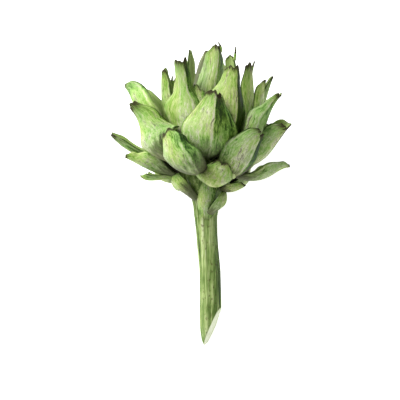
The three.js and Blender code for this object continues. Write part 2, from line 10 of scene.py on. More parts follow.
# %% Load the frame
import bpy
import json
import math
import numpy as np
from mathutils import Vector
from mathutils.bvhtree import BVHTree
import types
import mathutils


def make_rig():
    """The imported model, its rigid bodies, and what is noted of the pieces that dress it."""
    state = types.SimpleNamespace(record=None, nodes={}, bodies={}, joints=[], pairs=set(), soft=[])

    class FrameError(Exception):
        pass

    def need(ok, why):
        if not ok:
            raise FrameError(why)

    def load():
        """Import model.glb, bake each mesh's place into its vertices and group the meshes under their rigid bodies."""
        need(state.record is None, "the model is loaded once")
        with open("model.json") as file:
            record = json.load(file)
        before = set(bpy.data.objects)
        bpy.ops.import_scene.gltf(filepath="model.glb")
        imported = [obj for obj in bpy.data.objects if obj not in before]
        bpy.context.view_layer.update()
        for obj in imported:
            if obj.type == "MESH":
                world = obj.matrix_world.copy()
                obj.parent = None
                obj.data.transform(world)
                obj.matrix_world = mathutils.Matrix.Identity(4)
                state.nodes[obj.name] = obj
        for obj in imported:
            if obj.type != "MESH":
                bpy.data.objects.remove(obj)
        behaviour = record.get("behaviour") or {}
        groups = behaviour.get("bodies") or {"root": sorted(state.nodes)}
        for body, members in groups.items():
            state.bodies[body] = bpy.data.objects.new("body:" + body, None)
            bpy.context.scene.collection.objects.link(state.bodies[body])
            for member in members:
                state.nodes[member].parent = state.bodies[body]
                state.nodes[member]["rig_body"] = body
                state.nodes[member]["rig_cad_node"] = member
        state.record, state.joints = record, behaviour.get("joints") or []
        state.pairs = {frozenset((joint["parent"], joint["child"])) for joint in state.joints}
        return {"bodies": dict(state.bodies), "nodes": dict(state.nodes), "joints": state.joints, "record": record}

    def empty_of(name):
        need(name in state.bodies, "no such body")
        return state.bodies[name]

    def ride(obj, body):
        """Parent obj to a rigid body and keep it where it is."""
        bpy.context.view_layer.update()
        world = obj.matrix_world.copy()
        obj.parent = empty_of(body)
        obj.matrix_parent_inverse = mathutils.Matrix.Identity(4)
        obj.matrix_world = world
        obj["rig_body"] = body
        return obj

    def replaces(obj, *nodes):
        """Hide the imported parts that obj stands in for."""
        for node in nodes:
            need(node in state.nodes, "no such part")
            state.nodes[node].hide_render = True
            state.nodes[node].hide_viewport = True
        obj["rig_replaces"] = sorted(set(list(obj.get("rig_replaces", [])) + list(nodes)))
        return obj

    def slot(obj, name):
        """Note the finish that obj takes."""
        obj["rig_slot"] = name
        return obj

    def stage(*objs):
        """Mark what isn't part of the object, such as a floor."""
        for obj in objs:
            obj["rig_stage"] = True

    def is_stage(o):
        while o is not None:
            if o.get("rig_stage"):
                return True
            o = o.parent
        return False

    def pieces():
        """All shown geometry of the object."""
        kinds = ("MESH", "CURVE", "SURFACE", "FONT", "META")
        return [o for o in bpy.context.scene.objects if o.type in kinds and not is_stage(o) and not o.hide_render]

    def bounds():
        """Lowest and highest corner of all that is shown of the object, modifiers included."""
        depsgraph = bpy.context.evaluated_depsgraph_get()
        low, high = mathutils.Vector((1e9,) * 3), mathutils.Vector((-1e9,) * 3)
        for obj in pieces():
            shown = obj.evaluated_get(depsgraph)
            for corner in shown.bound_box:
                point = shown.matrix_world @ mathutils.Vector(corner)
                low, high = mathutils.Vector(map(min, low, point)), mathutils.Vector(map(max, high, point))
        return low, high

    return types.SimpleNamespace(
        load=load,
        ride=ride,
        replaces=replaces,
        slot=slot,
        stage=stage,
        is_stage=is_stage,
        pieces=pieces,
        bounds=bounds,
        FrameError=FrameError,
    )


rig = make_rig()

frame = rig.load()
cad_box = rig.bounds()
print("CAD nodes:", len(frame["nodes"]))

# %% [markdown]
# ## From upright to lying
#
# In the upright axes Z runs up the stem, X to the right and Y away from the side that shows best. Laying the
# plant down turns it about X until its axis slopes by only a few degrees, head higher than stem. A table is
# flat, so any point that would sink into it is pressed back up to it, which leaves small flat spots.

# %% Points and the table
LIE_TILT = math.radians(16.8)
LIE_OFFSET = np.array([3.7133, 4.8645, 34.7])


def lie(points):
    """Upright millimetres to lying metres, pressed flat where the table is."""
    x, y, z = np.asarray(points, float).T
    s, c = math.sin(LIE_TILT), math.cos(LIE_TILT)
    lying = np.stack([x, y * s + z * c, z * s - y * c], axis=1) + LIE_OFFSET
    lying[:, 2] = np.maximum(lying[:, 2], 0.0)
    return lying / 1000


def read_points(mesh):
    """The places of a mesh's vertices, one row each."""
    flat = np.empty(len(mesh.vertices) * 3)
    mesh.vertices.foreach_get("co", flat)
    return flat.reshape(-1, 3)


def write_points(mesh, points):
    mesh.vertices.foreach_set("co", points.ravel())
    mesh.update()


print("head base lies at", lie([[0, 0, 0]])[0].round(4))

# %% [markdown]
# ## The camera
#
# We look down on the lying plant, square to its axis, so that the head is at the top of the picture. A camera
# 0.9 m away with a long lens gives the gentle perspective of a still life.

# %% Camera
CAMERA_DISTANCE = 0.9
FRAME_WIDTH = 0.26
SENSOR_WIDTH = 36
PICTURE_CENTRE = (-3.9, 0, -9.75)
aim = Vector(lie([PICTURE_CENTRE])[0])
toward_camera = Vector((0, -math.sin(LIE_TILT), math.cos(LIE_TILT)))
camera_data = bpy.data.cameras.new("camera")
camera_data.sensor_width = SENSOR_WIDTH
camera_data.lens = SENSOR_WIDTH * CAMERA_DISTANCE / FRAME_WIDTH
camera = bpy.data.objects.new("camera", camera_data)
camera.location = aim + toward_camera * CAMERA_DISTANCE
camera.rotation_euler = (math.pi / 2 - math.atan2(toward_camera.z, -toward_camera.y), 0, 0)
bpy.context.scene.collection.objects.link(camera)
bpy.context.scene.camera = camera
print("lens", round(camera_data.lens, 1), "mm")

# %% [markdown]
# ## Floor and light
#
# A white table and a soft, even surround keep the picture clean. One large lamp at the upper left models the
# roundness of each leaf and leaves its right side darker.

# %% Floor
def deselect_all():
    """Operators act on all that is selected, so each step starts with nothing selected."""
    for o in bpy.context.view_layer.objects:
        o.select_set(False)
    bpy.context.view_layer.objects.active = None


deselect_all()
bpy.ops.mesh.primitive_plane_add(size=6, location=(0, 0, 0))
floor = bpy.context.object
floor.name = "floor"
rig.stage(floor)
print("floor:", floor.dimensions.x, "m wide")

# %% Lamp and surround
LAMP_PLACE = Vector((-0.66, 0.5, 0.66))
LAMP_SIZE, LAMP_POWER = 0.5, 13
PLANT_MIDDLE = Vector((0, 0.03, 0.04))
SURROUND = 0.56

lamp_data = bpy.data.lights.new("key", "AREA")
lamp_data.size = LAMP_SIZE
lamp_data.energy = LAMP_POWER
lamp = bpy.data.objects.new("key", lamp_data)
lamp.location = LAMP_PLACE
lamp.rotation_euler = (PLANT_MIDDLE - LAMP_PLACE).to_track_quat("-Z", "Y").to_euler()
bpy.context.scene.collection.objects.link(lamp)

world = bpy.data.worlds.new("studio")
world.use_nodes = True
world.node_tree.nodes["Background"].inputs["Color"].default_value = (1, 1, 1, 1)
world.node_tree.nodes["Background"].inputs["Strength"].default_value = SURROUND
bpy.context.scene.world = world
bpy.context.scene.view_settings.view_transform = "Standard"
print("lamp:", LAMP_POWER, "W, surround:", SURROUND)

# %% [markdown]
# ## Shader maths as Python
#
# A material is a network of small nodes. Writing it as expressions keeps it readable: `Field` wraps a number
# that changes over a surface, and adding or multiplying fields adds the Math nodes.

# %% Shader helper
class Field:
    """A value that changes over a surface."""

    def __init__(self, skin, socket):
        self.skin = skin
        self.socket = socket

    def maths(self, operation, *values):
        return self.skin.node("ShaderNodeMath", {"operation": operation}, dict(enumerate(values)))

    def __add__(self, other):
        return self.maths("ADD", self, other)

    def __sub__(self, other):
        return self.maths("SUBTRACT", self, other)

    def __mul__(self, other):
        return self.maths("MULTIPLY", self, other)

    __radd__ = __add__

    def size(self):
        return self.maths("ABSOLUTE", self)

    def ramp(self, low, high, to_low=0.0, to_high=1.0):
        """A smooth step from one value to another."""
        settings = {"interpolation_type": "SMOOTHSTEP"}
        places = {0: self, 1: low, 2: high, 3: to_low, 4: to_high}
        return self.skin.node("ShaderNodeMapRange", settings, places)


def paint(red, green, blue):
    """A colour given as on a paint card, from 0 to 255, for a shader's linear sockets."""
    return tuple(c / 12.92 if c < 0.04045 else ((c + 0.055) / 1.055) ** 2.4
                 for c in (red / 255, green / 255, blue / 255)) + (1.0,)


SHINE = 0.12


class Skin:
    """A material under construction."""

    def __init__(self, name, roughness=0.5):
        self.material = bpy.data.materials.new(name)
        self.material.use_nodes = True
        self.tree = self.material.node_tree
        self.surface = self.tree.nodes["Principled BSDF"]
        self.surface.inputs["Roughness"].default_value = roughness
        self.surface.inputs["Specular IOR Level"].default_value = SHINE

    def node(self, kind, settings=None, sockets=None, output=0):
        """One node: its settings are set first, then the values or links of its sockets."""
        made = self.tree.nodes.new(kind)
        for key, value in (settings or {}).items():
            if key == "stops":
                while len(made.color_ramp.elements) < len(value):
                    made.color_ramp.elements.new(0.5)
                for element, (place, colour) in zip(made.color_ramp.elements, value):
                    element.position = place
                    element.color = colour
            else:
                setattr(made, key, value)
        for key, value in (sockets or {}).items():
            if isinstance(value, Field):
                self.tree.links.new(value.socket, made.inputs[key])
            else:
                made.inputs[key].default_value = value
        return Field(self, made.outputs[output])

    def attribute(self, name):
        """The three numbers of a mesh attribute, as fields."""
        vector = self.node("ShaderNodeAttribute", {"attribute_name": name}, output="Vector")
        return [self.node("ShaderNodeSeparateXYZ", None, {0: vector}, output=k) for k in range(3)]

    def point(self, x, y, z):
        return self.node("ShaderNodeCombineXYZ", None, {0: x, 1: y, 2: z})

    def noise(self, where, scale=1.0, detail=2.0, rough=0.5):
        sockets = {"Vector": where, "Scale": scale, "Detail": detail, "Roughness": rough}
        return self.node("ShaderNodeTexNoise", None, sockets)

    def mix(self, share, first, second):
        """Between two colours."""
        return self.node("ShaderNodeMix", {"data_type": "RGBA"}, {0: share, 6: first, 7: second}, output=2)

    def colours(self, field, stops):
        return self.node("ShaderNodeValToRGB", {"stops": stops}, {0: field})

    def finish(self, colour, height=None, depth=0.0002, roughness=None):
        """Joins the colour, the relief and the roughness to the surface."""
        self.tree.links.new(colour.socket, self.surface.inputs["Base Color"])
        if height is not None:
            sockets = {"Height": height, "Distance": depth, "Strength": 1.0}
            bump = self.node("ShaderNodeBump", None, sockets)
            self.tree.links.new(bump.socket, self.surface.inputs["Normal"])
        if roughness is not None:
            self.tree.links.new(roughness.socket, self.surface.inputs["Roughness"])
        return self.material


print("paint(255, 255, 255) =", paint(255, 255, 255))

# %% [markdown]
# ## The skin of a bract
#
# A bract is streaked along its length by fine veins, purple-grey where it is hidden at its root and brown and
# dry at its tip. Light and shade are painted into it as well: a painted highlight over its swollen belly, in a
# thin band just inside each edge and on the crest of a crease, and painted shade towards its sides, on its right
# side, in the valley beside a crease and where other leaves crowd it. The pattern follows the leaf, so each leaf
# mesh carries five attributes:
#
# - `leaf`: the place across (-1 to 1), the place along (0 to 1) and a number of its own
# - `mark`: the distance from a small scar in millimetres, across and along, and how strong the scar is
# - `fold`: the distance from a crease, how sharp the crease is, which sets how strong the painted shade and
#   highlight beside it are, and how far the root's stain reaches
# - `crowd`: how closely other leaves cover the place, which sets the painted shade there, how dark the painted
#   shade in the valley beside a crease stays low down, and how much painted shade the right half of the leaf gets
# - `age`: how much further than usual the dry tip reaches down

# %% Bract skin, outside
def bract_skin():
    skin = Skin("bract_skin", roughness=0.5)
    across, along, own = skin.attribute("leaf")
    mark_x, mark_y, marked = skin.attribute("mark")
    fold, folded, stain = skin.attribute("fold")
    crowd_shade, deep, right_shade = skin.attribute("crowd")
    aged = skin.attribute("age")[0]
    wander = (skin.noise(skin.point(across * 2, along * 6, own * 13), 1.2, 3, 0.6) - 0.5) * 0.3
    vein = skin.noise(skin.point((across + wander) * 5.5, along * 2, own * 7), 1.6, 5, 0.7)
    fine = skin.noise(skin.point((across + wander) * 20, along * 6, own * 5), 1.5, 3, 0.6)
    patch = skin.noise(skin.point(across * 1.4, along * 2.4, own * 3), 1.6, 3, 0.6)
    mottle = skin.noise(skin.point(across * 6, along * 11, own * 9), 1.5, 4, 0.7)
    fibre = skin.noise(skin.point((across + wander) * 13, along * 5, own * 11), 1.5, 3, 0.65)

    # painted light and shade: highlight on the belly and the crest, shade on the right side, where leaves crowd and
    # beside a crease
    lit = (across + 0.15).size().ramp(0.0, 0.85, 1.0, 0.0)
    shaded_right_side = across.ramp(0.1, 1.0)
    belly = (along - 0.5).size().ramp(0.0, 0.45, 1.0, 0.0)
    grain = (vein - 0.5) * 1.2 + (fine - 0.5) * 1.05 + (patch - 0.5) * 0.8 + (mottle - 0.5) * 1.0
    tone = 0.52 + lit * 0.16 + belly * 0.1 - shaded_right_side * right_shade * 0.26 - crowd_shade * 0.32 + grain
    valley = fold.ramp(-0.02, 0.03) * fold.ramp(0.15, 0.75, 1.0, 0.0) * folded
    crest_highlight = (fold + 0.04).size().ramp(0.0, 0.06, 1.0, 0.0) * folded
    tone = tone - valley * (deep + 0.12 + along.ramp(0.4, 0.8) * 0.5) + crest_highlight * 0.25
    # a painted highlight in a thin band just inside each edge, above the root
    tone = tone + (across.size() - 0.87).size().ramp(0.0, 0.06, 1.0, 0.0) * along.ramp(0.25, 0.4) * 0.2

    # greens, drifting towards a yellower and towards a cooler green in patches
    green = skin.colours(tone, [
        (0.0, paint(26, 50, 8)), (0.22, paint(68, 105, 26)), (0.45, paint(134, 177, 80)),
        (0.7, paint(173, 195, 122)), (1.0, paint(210, 212, 178))])
    hue = skin.noise(skin.point(across * 0.7, along * 1.3, own * 2), 1.4, 1, 0.5)
    green = skin.mix(hue.ramp(0.5, 0.62) * 0.4, green, skin.colours(tone, [
        (0.1, paint(60, 84, 12)), (0.5, paint(140, 168, 60)), (0.9, paint(198, 206, 116))]))
    green = skin.mix(hue.ramp(0.38, 0.5, 1.0, 0.0) * 0.35, green, skin.colours(tone, [
        (0.1, paint(40, 76, 36)), (0.5, paint(108, 150, 88)), (0.9, paint(176, 202, 154))]))

    # painted shade in the gaps where leaves crowd, then dark fibres, the stained root, cracks and the scar
    green = skin.mix(crowd_shade.ramp(0.14, 0.6) * 0.9, green, paint(24, 42, 8))
    thread = (fibre - 0.5).size().ramp(0.0, 0.022, 1.0, 0.0) * (mottle + patch * 0.5).ramp(0.62, 0.85)
    green = skin.mix(thread * 0.7, green, paint(66, 80, 30))
    root = (along - stain + (patch - 0.5) * 0.6 + (vein - 0.5) * 0.45).ramp(0.12, 0.42, 1.0, 0.0)
    green = skin.mix(root * 0.78, green, paint(76, 66, 56))
    crack = (fine * 0.6 + vein * 0.4).ramp(0.55, 0.6) * patch.ramp(0.46, 0.56)
    green = skin.mix(crack * 0.75, green, paint(64, 62, 26))
    place = skin.point(mark_x, mark_y * 1.6, 0)
    far = skin.node("ShaderNodeVectorMath", {"operation": "LENGTH"}, {0: place}, "Value")
    ring = (far * 2.6 + vein * 2.5).maths("SINE").ramp(0.45, 0.95) * far.ramp(2.5, 5.5, 1.0, 0.0)
    scar = ring * marked
    green = skin.mix(scar * 0.85, green, paint(80, 72, 38))

    # the tip dries from olive to brown, and the rim is thin and dark
    dry = (along + aged + (vein - 0.5) * 0.24 + (fine - 0.5) * 0.18).ramp(0.94, 0.97)
    burnt = (along + aged + (fine - 0.5) * 0.5 + (fibre - 0.5) * 0.2).ramp(0.84, 0.99)
    rim = (across.size() + (fine - 0.5) * 0.08).ramp(0.9, 0.99) * along.ramp(0.25, 0.85, 0.5, 1.0)
    brown = skin.mix(burnt * 0.55, green, paint(92, 88, 46))
    brown = skin.mix(dry * 0.9, brown, paint(44, 34, 20))
    brown = skin.mix(rim * 0.85, brown, paint(40, 52, 22))
    height = vein * 0.7 + fine * 0.3 - crack * 0.5 - scar * 0.6 - thread * 0.2
    return skin.finish(brown, height, 0.0005, 0.45 + fine * 0.22 + dry * 0.2)


bract_outside = bract_skin()
print("bract skin nodes:", len(bract_outside.node_tree.nodes))

# %% [markdown]
# The inside of a bract is smoother: pale and waxy low down, green and then dull olive where its curled end
# opens.

# %% Bract skin, inside
def bract_lining():
    skin = Skin("bract_lining", roughness=0.55)
    across, along, own = skin.attribute("leaf")
    vein = skin.noise(skin.point(across * 12, along * 2, own * 9), 1.5, 3, 0.55)
    tone = along * 0.55 + (vein - 0.5) * 0.7 + across.size() * 0.12
    colour = skin.colours(tone, [
        (0.0, paint(210, 218, 170)), (0.3, paint(178, 196, 130)),
        (0.6, paint(146, 168, 98)), (0.85, paint(98, 108, 54))])
    return skin.finish(colour, vein, 0.0002)


bract_inside = bract_lining()
print("lining nodes:", len(bract_inside.node_tree.nodes))

# %% [markdown]
# ## Rows of bracts
#
# Each row has one curve for its middle line, given by four points as distance from the axis and height: root,
# belly, neck and tip. `half` is half the width and `cup` the angle of half the curl, at belly, neck and tip.
# `under` is how far the head's weight pushes the row in where the head lies on it. `back` counts the bracts
# of the far side, and `drop` is how much lower their tips end than those of the front.

# %% The rows
ROWS = {
    "crown": dict(root=(7, 23), belly=(22, 40), neck=(18, 70), tip=(10, 89), half=(10, 8, 2.8),
                  cup=(1.2, 1.2, 0.9), under=((0, 0), (0, 0), (0, 0)), back=0, drop=6),
    "high": dict(root=(12, 21), belly=(30, 30), neck=(26, 58), tip=(28, 79), half=(9, 4.8, 3.6),
                 cup=(1.3, 1.6, 1.2), under=((0, 0), (0, 0), (0, 0)), back=3, drop=6),
    "upper": dict(root=(17, 18), belly=(42, 26), neck=(30, 56), tip=(34, 78), half=(12, 6, 4.5),
                  cup=(1.2, 1.6, 1.2), under=((3, 0), (0, 0), (2, 0)), back=3, drop=6),
    "middle": dict(root=(19, 14), belly=(50, 13), neck=(41, 43), tip=(46, 60), half=(14, 8, 4.2),
                   cup=(1.2, 1.5, 1.2), under=((5, 2), (1, 0), (3, 0)), back=4, drop=2),
    "wide": dict(root=(19, 9), belly=(45, 3), neck=(45, 24), tip=(48, 37), half=(13, 8, 4.2),
                 cup=(1.2, 1.5, 1.1), under=((5, 2), (4, 2), (5, 2)), back=0, drop=0),
    "outer": dict(root=(17, 3), belly=(36, 2), neck=(45, 8), tip=(54, 14), half=(8, 5.5, 3),
                  cup=(1.4, 1.5, 1.1), under=((3, -1), (8, 0), (13, 0)), back=4, drop=0),
    "skirt": dict(root=(12, -3), belly=(25, -3), neck=(31, 1), tip=(40, 4), half=(6.5, 5, 2.2),
                  cup=(1.4, 1.4, 1), under=((0, 0), (2, 0), (5, 0)), back=3, drop=-3),
    "stem": dict(root=(8, -21), belly=(12, -16), neck=(15, -8), tip=(18, 0), half=(5, 4, 1.8),
                 cup=(1.2, 1, 0.7), under=((0, 0), (0, 0), (0, 0)), back=1, drop=0),
}
HEART_ROW = dict(root=(7, 29), belly=(12, 42), neck=(9, 62), tip=(2.5, 80), half=(6.5, 5, 1.6),
                 cup=(0.9, 0.9, 0.7), under=((0, 0), (0, 0), (0, 0)))
print("rows:", ", ".join(ROWS))

# %% [markdown]
# The bracts that show best were each set against the real head: an azimuth, 0 at the front and positive to
# the right, and small shifts of the row's curve. `swing` turns the tip sideways and `twist` turns it about
# its own length. `wide`, `necks` and `cups` scale the widths and the cupping, and `belly_at` and `neck_at`
# are the shares of the length where those widths are reached. `crease` places a crease between the edges at
# -1 and 1, with a painted highlight along it, `fold` deepens the valley beside it and its painted shade, and
# `notch` and `lean` shape the tip. The rest only colours: `stain` is how far the root's stain reaches, `deep`
# how dark the painted shade in a valley stays low down, `shade` how much painted shade crowding gives the leaf
# and `dry` how much further down its dry tip reaches.

# %% The bracts placed one by one
PLACED = {
    "crown": dict(
        front=dict(azimuth=0.1, swing=25.4, root=(3.6, -0.3), belly=(3.7, -1.2), neck=(6.4, 3.2),
                   tip=(6.4, 0.5), twist=4, wide=1.18, necks=0.76, cups=0.81, belly_at=0.4, neck_at=0.87,
                   crease=0.12, fold=0.4, stain=0.25),
        near_left=dict(azimuth=-54.8, swing=5.8, root=(-0.4, -0.2), belly=(-5.8, -3.5), neck=(-11.5, 3.5),
                       tip=(-10.9, -1.2), twist=5.4, wide=0.6, necks=1.24, cups=1.01, belly_at=0.47,
                       neck_at=0.84, stain=0.7),
        near_right=dict(azimuth=74, tip=(-2, -6), wide=0.8),
        back_left=dict(azimuth=-140.8, swing=-2.6, root=(0.2, -1.1), belly=(-1.3, 1.7), neck=(-1.9, 2.8),
                       tip=(7.9, 0.6), twist=7, wide=0.51, necks=0.73, cups=0.87, belly_at=0.39, neck_at=0.82,
                       notch=3, lean=0),
        back_right=dict(azimuth=137.1, swing=-19, root=(-0.1, -1), belly=(3.9, 1), neck=(7.4, 4.8),
                        tip=(8.6, -3.7), twist=5.2, wide=0.69, necks=0.87, cups=0.86, belly_at=0.36,
                        neck_at=0.95)),
    "high": dict(
        right=dict(azimuth=75.9, swing=-7.4, root=(0.4, -1), belly=(9.6, -1.3), neck=(3.6, -5.1),
                   tip=(3.3, -0.6), twist=16.7, wide=0.77, necks=1.74, cups=0.86, belly_at=0.28, neck_at=0.77,
                   crease=0.15, fold=0.5),
        left=dict(azimuth=-100.3, swing=4.1, root=(0.3, 0.1), belly=(0.2, 0), neck=(2.3, -0.3),
                  tip=(0.6, -2.9), twist=3.9, wide=1.39, necks=0.92, cups=0.97, belly_at=0.47, neck_at=0.82),
        hidden_left=dict(azimuth=-50, tip=(-5, -8)),
        hidden_front=dict(azimuth=10, neck=(-3, -8), tip=(-6, -20))),
    "upper": dict(
        low=dict(azimuth=-8.7, swing=0.6, root=(-3.3, 2.6), belly=(-5.3, 6.1), neck=(-3.2, -3.1),
                 tip=(-5.6, -17.2), twist=2.5, wide=1.05, necks=0.82, cups=0.87, belly_at=0.44, neck_at=0.84,
                 notch=0, lean=-1.1, shade=0.4, dry=-0.03),
        left=dict(azimuth=-25.3, swing=-0.5, root=(0.1, -0.1), belly=(-7.6, 7.6), neck=(-0.9, 3.2),
                  tip=(4.1, 0.6), twist=26.5, wide=1.61, necks=0.62, cups=0.86, belly_at=0.5, neck_at=0.73,
                  crease=0.3, fold=0.4, dry=-0.02),
        right=dict(azimuth=16.4, swing=10.1, root=(-3.5, 1.2), belly=(-8.5, 4.8), neck=(11.3, 4.9),
                   tip=(3.7, -3.1), twist=-23, wide=1.41, necks=0.77, cups=0.83, belly_at=0.42, neck_at=0.85,
                   crease=0.4, fold=0.5, deep=0.45),
        far_left=dict(azimuth=-84.5, swing=-26.9, root=(-2.8, -1.2), belly=(2.3, 3.7), neck=(14.5, 1.8),
                      tip=(19.8, -15), twist=-12.2, wide=1.47, necks=0.88, cups=1.21, belly_at=0.41,
                      neck_at=0.87),
        far_right=dict(azimuth=74.7, swing=15.4, root=(-0.2, -0.3), belly=(0.5, 0.9), neck=(4.7, 2.6),
                       tip=(4.3, -11.7), twist=5.7, wide=0.74, necks=1.29, cups=0.94, belly_at=0.43,
                       neck_at=0.86),
        behind_right=dict(azimuth=101.4, swing=-13.2, root=(0.3, 0.1), belly=(-3.6, 1.5), neck=(3.6, -5.6),
                          tip=(10.4, -7.5), twist=14.9, wide=0.47, necks=1.08, cups=0.98, belly_at=0.39,
                          neck_at=0.81)),
    "middle": dict(
        front=dict(azimuth=2.6, swing=6.5, root=(-1.7, 3.4), belly=(4.1, 0.3), neck=(3, 5.1),
                   tip=(-4.8, -1.8), twist=-1.4, wide=1.4, necks=0.63, cups=0.61, belly_at=0.51,
                   neck_at=0.96, crease=0.02, fold=0.8, stain=-0.06, dry=0.03),
        left=dict(azimuth=-55.8, swing=-17.6, root=(-0.5, -1.1), belly=(10, 10.2), neck=(-8.4, -11.9),
                  tip=(5.5, -9.5), twist=10.4, wide=1.3, necks=0.81, cups=1.2, belly_at=0.48, neck_at=0.78,
                  stain=0.02),
        right=dict(azimuth=56.9, swing=5.8, root=(-0.3, 0.3), belly=(-5.5, 0.4), neck=(-1.6, 3.3),
                   tip=(7.6, -2.9), twist=-16.6, wide=0.96, necks=0.75, cups=1.09, belly_at=0.67,
                   neck_at=0.83, crease=-0.5, fold=0.3)),
    "wide": dict(
        left=dict(azimuth=-26.9, swing=-9.5, root=(-2.5, 0.2), belly=(6.1, 1), neck=(2.8, 0.9),
                  tip=(-4.5, -3.4), twist=-8.1, wide=1.54, necks=1.06, cups=1.05, belly_at=0.44, neck_at=0.74,
                  crease=0.68, fold=0.45, stain=0.14, dry=0.05),
        right=dict(azimuth=34.3, swing=11.3, root=(0.3, -2.7), belly=(-4.6, -3.1), neck=(0.2, 4.2),
                   tip=(1.7, -4.8), twist=-4.3, wide=1.21, necks=0.89, cups=0.67, belly_at=0.5, neck_at=0.89,
                   crease=0.1, fold=0.15, stain=0.06, deep=0.45),
        far_right=dict(azimuth=76.8, swing=-13, root=(0.7, 0.9), belly=(-1.9, 12.2), neck=(-0.6, 5.1),
                       tip=(10.7, -0.2), twist=-9.5, wide=1.25, necks=0.98, cups=0.99, belly_at=0.44,
                       neck_at=0.9, crease=-0.2, fold=0.5, deep=0.2),
        far_left=dict(azimuth=-101.4, swing=11.8, root=(-0.9, -0.9), belly=(-4.5, 16.4), neck=(3.5, -7.4),
                      tip=(16.1, -4.7), twist=-5.7, wide=0.62, necks=1.25, cups=0.77, belly_at=0.46,
                      neck_at=0.91),
        back_right=dict(azimuth=116, belly=(-2, 2), neck=(-1, 1), tip=(2, 1), wide=0.9, crease=0.3),
        back_left=dict(azimuth=237, belly=(-2, 1), neck=(0, 2), tip=(3, 0), wide=0.9, crease=-0.3),
        under_right=dict(azimuth=157, belly=(4, 1), neck=(6.6, 6), tip=(2, 3), wide=1.05, crease=0.3),
        under_left=dict(azimuth=203, belly=(3.5, 0), neck=(6.2, 5), tip=(2, 2), wide=1.05, crease=-0.3)),
    "outer": dict(
        front=dict(azimuth=11, swing=6.7, root=(-1.8, 1.8), belly=(7, -11.5), neck=(-8.1, -0.5),
                   tip=(-14.7, -0.8), twist=4.2, wide=2.23, necks=1.05, cups=0.84, belly_at=0.47,
                   neck_at=0.74, crease=-0.05, stain=-0.05, notch=0.05, lean=0),
        right=dict(azimuth=85.5, swing=11, root=(1.4, 3.1), belly=(3.5, -3.6), neck=(-0.4, 4.3),
                   tip=(0, -2.1), twist=3.4, wide=1.07, necks=0.86, cups=1.03, belly_at=0.48, neck_at=0.81),
        left=dict(azimuth=-83.1, swing=-2.4, root=(1.2, 1.3), belly=(3.3, 7.9), neck=(0.9, 8.1),
                  tip=(-1.2, 4.2), twist=-0.9, wide=1.17, necks=0.7, cups=1.22, belly_at=0.5, neck_at=0.75,
                  stain=0.02, shade=0.15)),
    "skirt": dict(
        right=dict(azimuth=56.6, swing=3.2, root=(0, 0.3), belly=(-4.4, -2.3), neck=(-7.7, -3.3),
                   tip=(-11, -4.2), twist=5.1, wide=0.88, necks=0.85, cups=1.02, belly_at=0.42, neck_at=0.84),
        left=dict(azimuth=-79.8, swing=-5.6, root=(-1.1, 2.9), belly=(3.2, 12.2), neck=(5.5, -1.1),
                  tip=(2.6, 1.9), twist=-10.4, wide=0.47, necks=2.6, cups=0.87, belly_at=0.44, neck_at=0.85)),
    "stem": dict(
        right=dict(azimuth=19.4, swing=53.9, root=(-1.9, 2.4), belly=(6.9, 0.3), neck=(3.6, -0.7),
                   tip=(-8, 0.8), twist=4.5, wide=0.75, necks=0.63, cups=0.93, belly_at=0.54, neck_at=0.86,
                   stain=0),
        front=dict(azimuth=4, belly=(-0.5, 3), neck=(-2, 3), tip=(-4, 5), wide=1.2, stain=-0.25,
                   root=(-2.5, -1)),
        left=dict(azimuth=-47.8, swing=-32.3, root=(0.7, 11.6), belly=(12.2, 16.3), neck=(5, 5.9),
                  tip=(5.7, 6.8), twist=20.9, wide=1.14, necks=1.23, cups=1.01, belly_at=0.53, neck_at=0.8,
                  stain=0.1)),
}
print("placed one by one:", sum(len(row) for row in PLACED.values()))

# %% [markdown]
# The far side follows by rule: each row is spaced evenly round the back, with small differences that come
# from a seeded number generator, so that they are the same on every run.

# %% All bracts
def numbers(seed):
    """A repeatable stream of numbers from 0 to 1."""
    state = seed
    while True:
        state = (state * 1664525 + 1013904223) % 4294967296
        yield state / 4294967296


def every_bract(seed=7):
    stream = numbers(seed)

    def between(low, high):
        return low + (high - low) * next(stream)

    found = []
    for row, settings in ROWS.items():
        placed = [dict(own, name=f"bract_{row}_{name}", row=row) for name, own in PLACED[row].items()]
        found += placed
        right = max(own["azimuth"] for own in placed)
        left = min(own["azimuth"] for own in placed) + 360
        for n in range(1, settings["back"] + 1):
            azimuth = right + (left - right) * n / (settings["back"] + 1) + between(-4, 4)
            swing = between(-6, 6)
            tip = (between(-5, 0), between(-3, 3) - settings["drop"])
            found.append(dict(name=f"bract_{row}_far_{n}", row=row, azimuth=azimuth, swing=swing, tip=tip,
                              wide=between(0.85, 1), twist=between(-8, 8), crease=0.3 if n % 2 else -0.3))
    return found


bracts = every_bract()
print("bracts:", len(bracts))

# %% [markdown]
# ## The shape of a bract
#
# A bract is one flat blade rolled into a trough: its middle line is a smooth curve out of the stem, and its
# cross-section bends by the same angle all the way from edge to edge, or more sharply in a crease. Bending a
# ready-made flat blank along these curves keeps the grid of the blank running with the veins.

# %% Bending a blank into a bract
BELLY_AT, NECK_AT = 0.44, 0.82
SECTION = np.linspace(-1, 1, 121)
ROOT_SHARE, ROOT_CUP = 0.55, 0.6
CREASE_SHARE, CREASE_WIDTH = 0.35, 0.07
FOLD_BESIDE, FOLD_WIDTH = 0.15, 0.11
TIP_ROUNDING, NOTCH_WIDTH = 0.5, 0.26
BELLY_WAVE_MM, EDGE_WAVE_MM, RAGGED_MM = 0.3, 0.55, 0.8
WAVY_HALF_MM = 10


def smooth(low, high, x):
    t = np.clip((np.asarray(x, float) - low) / (high - low), 0, 1)
    return t * t * (3 - 2 * t)


def along_bract(v, root, belly, neck, tip, belly_at=BELLY_AT, neck_at=NECK_AT):
    """A size along the bract, from root through belly and neck to tip."""
    low = root + (belly - root) * np.sin(np.pi / 2 * np.clip(v / belly_at, 0, 1))
    middle = belly + (neck - belly) * smooth(belly_at, neck_at, v)
    high = neck + (tip - neck) * smooth(neck_at, 1, v)
    return np.where(v < belly_at, low, np.where(v < neck_at, middle, high))


